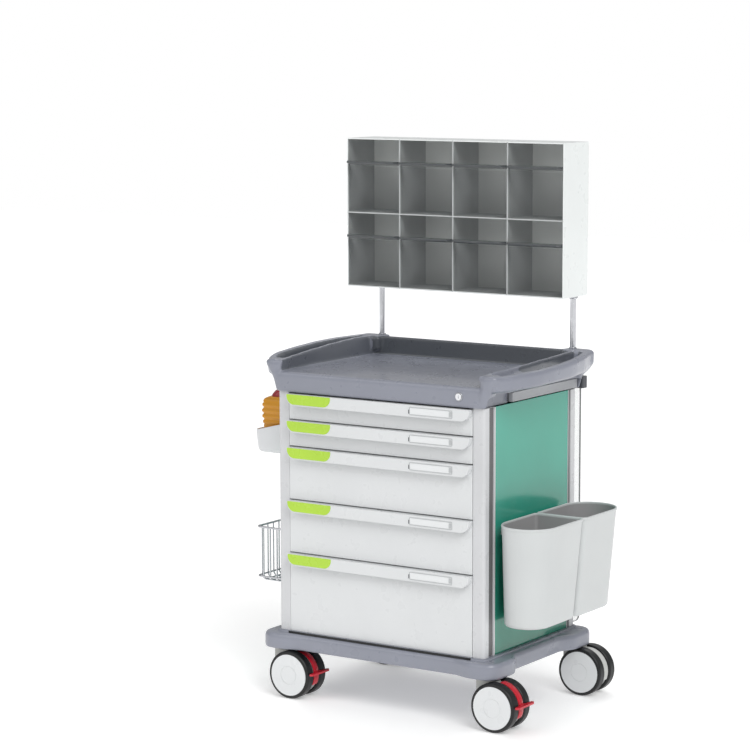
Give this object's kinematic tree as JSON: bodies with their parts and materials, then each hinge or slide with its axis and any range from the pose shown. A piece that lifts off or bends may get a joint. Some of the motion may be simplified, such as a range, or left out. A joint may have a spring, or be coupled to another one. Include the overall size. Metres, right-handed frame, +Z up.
{
  "type": "crash cart",
  "caption": "Hospital crash cart with lockable drawers, a raised cabinet of clear tilt bins, side shelf, waste bins, basket and sharps holder on braked twin-wheel casters.",
  "frame": {"origin": "on the floor, under the middle of the cart", "axes": "+Z up, -Y towards the side the drawers open to, +X towards the side with the waste bins"},
  "size_m": [0.936, 0.517, 1.433],
  "materials": {
    "abs_grey": "satin moulded",
    "bin_smoke": "clear smoky",
    "board_clear": "smoky clear",
    "cabinet_white": "satin",
    "caster_grey": "moulded",
    "column_aluminium": "anodised satin",
    "disc_white": "satin",
    "drawer_white": "satin",
    "frame_steel": "powder coated",
    "holder_grey": "satin",
    "lock_chrome": "polished",
    "panel_green": "gloss",
    "panel_white": "satin",
    "pedal_red": "gloss",
    "post_steel": "polished",
    "runner_zinc": "zinc plated",
    "sharps_yellow": "gloss",
    "tag_green": "gloss",
    "tray_grey": "moulded",
    "tyre_black": "matte",
    "waste_grey": "satin",
    "wire_chrome": "polished wire"
  },
  "bodies": {
    "root": {"base_moulding": "abs_grey", "base_frame": "frame_steel", "corner_columns": "column_aluminium", "side_panels": "panel_green", "back_panel": "panel_white", "worktop": "abs_grey", "fixed_runners": "runner_zinc", "bin_cabinet": "cabinet_white", "cabinet_posts": "post_steel", "accessory_rails": "column_aluminium", "sharps_holder": "holder_grey", "wire_basket": "wire_chrome"},
    "drawer_1": {"drawer_1_tray": "tray_grey", "drawer_1_front": "drawer_white", "drawer_1_handle": "drawer_white", "drawer_1_labels": "tag_green"},
    "drawer_2": {"drawer_2_tray": "tray_grey", "drawer_2_front": "drawer_white", "drawer_2_handle": "drawer_white", "drawer_2_labels": "tag_green"},
    "drawer_3": {"drawer_3_tray": "tray_grey", "drawer_3_front": "drawer_white", "drawer_3_handle": "drawer_white", "drawer_3_labels": "tag_green"},
    "drawer_4": {"drawer_4_tray": "tray_grey", "drawer_4_front": "drawer_white", "drawer_4_handle": "drawer_white", "drawer_4_labels": "tag_green"},
    "drawer_5": {"drawer_5_tray": "tray_grey", "drawer_5_front": "drawer_white", "drawer_5_handle": "drawer_white", "drawer_5_labels": "tag_green"},
    "caster_fl": {"caster_fl_housing": "caster_grey"},
    "wheel_fl": {"caster_fl_tyres": "tyre_black", "caster_fl_hubs": "disc_white"},
    "pedal_fl": {"brake_pedal_fl": "pedal_red"},
    "caster_fr": {"caster_fr_housing": "caster_grey"},
    "wheel_fr": {"caster_fr_tyres": "tyre_black", "caster_fr_hubs": "disc_white"},
    "pedal_fr": {"brake_pedal_fr": "pedal_red"},
    "caster_rl": {"caster_rl_housing": "caster_grey"},
    "wheel_rl": {"caster_rl_tyres": "tyre_black", "caster_rl_hubs": "disc_white"},
    "caster_rr": {"caster_rr_housing": "caster_grey"},
    "wheel_rr": {"caster_rr_tyres": "tyre_black", "caster_rr_hubs": "disc_white"},
    "tilt_bin_1": {"tilt_bin_1": "bin_smoke"},
    "tilt_bin_2": {"tilt_bin_2": "bin_smoke"},
    "tilt_bin_3": {"tilt_bin_3": "bin_smoke"},
    "tilt_bin_4": {"tilt_bin_4": "bin_smoke"},
    "tilt_bin_5": {"tilt_bin_5": "bin_smoke"},
    "tilt_bin_6": {"tilt_bin_6": "bin_smoke"},
    "tilt_bin_7": {"tilt_bin_7": "bin_smoke"},
    "tilt_bin_8": {"tilt_bin_8": "bin_smoke"},
    "side_shelf": {"side_shelf": "abs_grey"},
    "lock_cylinder": {"lock_cylinder": "lock_chrome"},
    "waste_bin_front": {"waste_bin_front": "waste_grey"},
    "waste_bin_rear": {"waste_bin_rear": "waste_grey"},
    "sharps_container": {"sharps_container": "sharps_yellow"},
    "cpr_board": {"cpr_board": "board_clear"}
  },
  "joints": [
    {"name": "drawer_1_slide", "type": "slide", "parent": "root", "child": "drawer_1", "axis": [0, -1, 0], "range_m": [0, 0.34]},
    {"name": "drawer_2_slide", "type": "slide", "parent": "root", "child": "drawer_2", "axis": [0, -1, 0], "range_m": [0, 0.34]},
    {"name": "drawer_3_slide", "type": "slide", "parent": "root", "child": "drawer_3", "axis": [0, -1, 0], "range_m": [0, 0.34]},
    {"name": "drawer_4_slide", "type": "slide", "parent": "root", "child": "drawer_4", "axis": [0, -1, 0], "range_m": [0, 0.34]},
    {"name": "drawer_5_slide", "type": "slide", "parent": "root", "child": "drawer_5", "axis": [0, -1, 0], "range_m": [0, 0.34]},
    {"name": "caster_fl_swivel", "type": "hinge", "parent": "root", "child": "caster_fl", "pos_m": [-0.308, -0.2175, 0.128], "axis": [0, 0, 1], "continuous": true},
    {"name": "wheel_fl_spin", "type": "hinge", "parent": "caster_fl", "child": "wheel_fl", "pos_m": [-0.262, -0.2175, 0.0625], "axis": [0, 1, 0], "continuous": true},
    {"name": "pedal_fl_press", "type": "hinge", "parent": "caster_fl", "child": "pedal_fl", "pos_m": [-0.262, -0.2175, 0.0625], "axis": [0, 1, 0], "range_deg": [0, 15]},
    {"name": "caster_fr_swivel", "type": "hinge", "parent": "root", "child": "caster_fr", "pos_m": [0.308, -0.2175, 0.128], "axis": [0, 0, 1], "continuous": true},
    {"name": "wheel_fr_spin", "type": "hinge", "parent": "caster_fr", "child": "wheel_fr", "pos_m": [0.354, -0.2175, 0.0625], "axis": [0, 1, 0], "continuous": true},
    {"name": "pedal_fr_press", "type": "hinge", "parent": "caster_fr", "child": "pedal_fr", "pos_m": [0.354, -0.2175, 0.0625], "axis": [0, 1, 0], "range_deg": [0, 15]},
    {"name": "caster_rl_swivel", "type": "hinge", "parent": "root", "child": "caster_rl", "pos_m": [-0.308, 0.2175, 0.128], "axis": [0, 0, 1], "continuous": true},
    {"name": "wheel_rl_spin", "type": "hinge", "parent": "caster_rl", "child": "wheel_rl", "pos_m": [-0.262, 0.2175, 0.0625], "axis": [0, 1, 0], "continuous": true},
    {"name": "caster_rr_swivel", "type": "hinge", "parent": "root", "child": "caster_rr", "pos_m": [0.308, 0.2175, 0.128], "axis": [0, 0, 1], "continuous": true},
    {"name": "wheel_rr_spin", "type": "hinge", "parent": "caster_rr", "child": "wheel_rr", "pos_m": [0.354, 0.2175, 0.0625], "axis": [0, 1, 0], "continuous": true},
    {"name": "tilt_bin_1_tip", "type": "hinge", "parent": "root", "child": "tilt_bin_1", "pos_m": [-0.24713, 0.124, 1.244], "axis": [1, 0, 0], "range_deg": [0, 35]},
    {"name": "tilt_bin_2_tip", "type": "hinge", "parent": "root", "child": "tilt_bin_2", "pos_m": [-0.08238, 0.124, 1.244], "axis": [1, 0, 0], "range_deg": [0, 35]},
    {"name": "tilt_bin_3_tip", "type": "hinge", "parent": "root", "child": "tilt_bin_3", "pos_m": [0.08238, 0.124, 1.244], "axis": [1, 0, 0], "range_deg": [0, 35]},
    {"name": "tilt_bin_4_tip", "type": "hinge", "parent": "root", "child": "tilt_bin_4", "pos_m": [0.24713, 0.124, 1.244], "axis": [1, 0, 0], "range_deg": [0, 35]},
    {"name": "tilt_bin_5_tip", "type": "hinge", "parent": "root", "child": "tilt_bin_5", "pos_m": [-0.24713, 0.124, 1.049], "axis": [1, 0, 0], "range_deg": [0, 35]},
    {"name": "tilt_bin_6_tip", "type": "hinge", "parent": "root", "child": "tilt_bin_6", "pos_m": [-0.08238, 0.124, 1.049], "axis": [1, 0, 0], "range_deg": [0, 35]},
    {"name": "tilt_bin_7_tip", "type": "hinge", "parent": "root", "child": "tilt_bin_7", "pos_m": [0.08238, 0.124, 1.049], "axis": [1, 0, 0], "range_deg": [0, 35]},
    {"name": "tilt_bin_8_tip", "type": "hinge", "parent": "root", "child": "tilt_bin_8", "pos_m": [0.24713, 0.124, 1.049], "axis": [1, 0, 0], "range_deg": [0, 35]},
    {"name": "side_shelf_slide", "type": "slide", "parent": "root", "child": "side_shelf", "axis": [1, 0, 0], "range_m": [0, 0.24]},
    {"name": "lock_turn", "type": "hinge", "parent": "root", "child": "lock_cylinder", "pos_m": [0.243, -0.236, 0.825], "axis": [0, -1, 0], "range_deg": [0, 90]},
    {"name": "waste_bin_front_lift", "type": "slide", "parent": "root", "child": "waste_bin_front", "axis": [0, 0, 1], "range_m": [0, 0.25]},
    {"name": "waste_bin_rear_lift", "type": "slide", "parent": "root", "child": "waste_bin_rear", "axis": [0, 0, 1], "range_m": [0, 0.25]},
    {"name": "sharps_container_lift", "type": "slide", "parent": "root", "child": "sharps_container", "axis": [0, 0, 1], "range_m": [0, 0.055]},
    {"name": "cpr_board_lift", "type": "slide", "parent": "root", "child": "cpr_board", "axis": [0, 0, 1], "range_m": [0, 0.25]}
  ]
}
